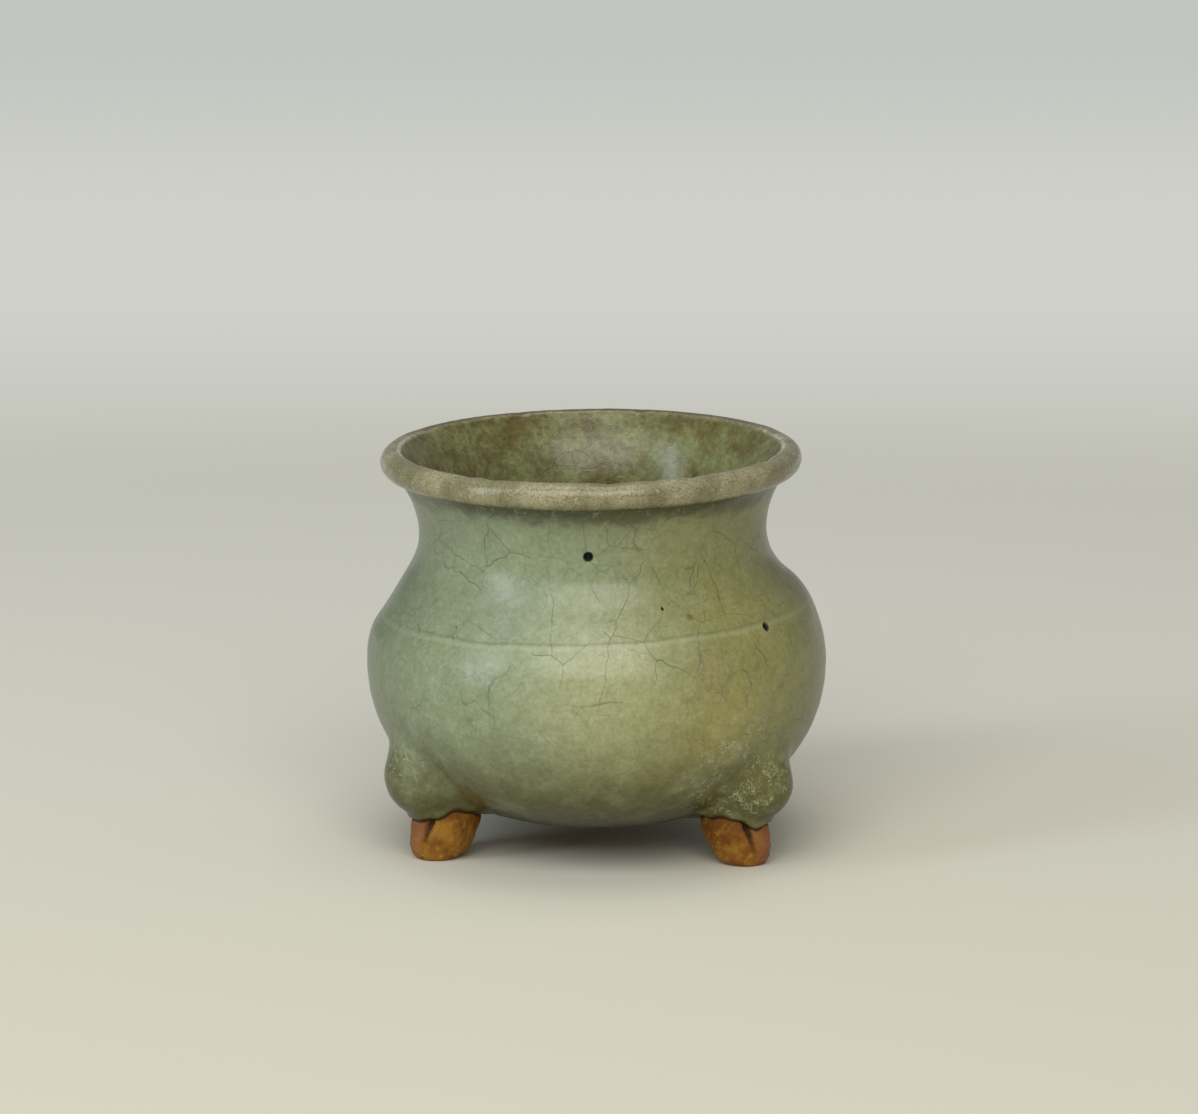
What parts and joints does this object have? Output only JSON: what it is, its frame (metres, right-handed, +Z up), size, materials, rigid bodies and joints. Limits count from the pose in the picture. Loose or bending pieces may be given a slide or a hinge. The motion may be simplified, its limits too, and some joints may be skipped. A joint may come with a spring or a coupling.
{
  "type": "tripod incense burner",
  "caption": "Small celadon-glazed stoneware incense burner: rolled lip, waisted neck, round belly and stubby feet under swelling knees, open at the top.",
  "frame": {"origin": "on the pot's axis, in the plane of the soles that it stands on", "axes": "+Z up along the pot's axis, -Y towards the front, +X to the right as seen from the front"},
  "size_m": [0.097, 0.097, 0.0852],
  "materials": {
    "celadon_glaze": "crackled sea-green celadon glaze, satin gloss",
    "lip_glaze": "the same glaze run thin over a tan body, speckled",
    "bare_clay": "unglazed stoneware burnt ochre to dark brown in the kiln, matt"
  },
  "bodies": {
    "root": {"lower_bowl": "celadon_glaze", "upper_body": "celadon_glaze", "rim_roll": "lip_glaze", "leg_front_left": "celadon_glaze", "leg_front_right": "celadon_glaze", "leg_back": "celadon_glaze", "toe_front_left": "bare_clay", "toe_front_right": "bare_clay", "toe_back": "bare_clay"}
  },
  "joints": []
}
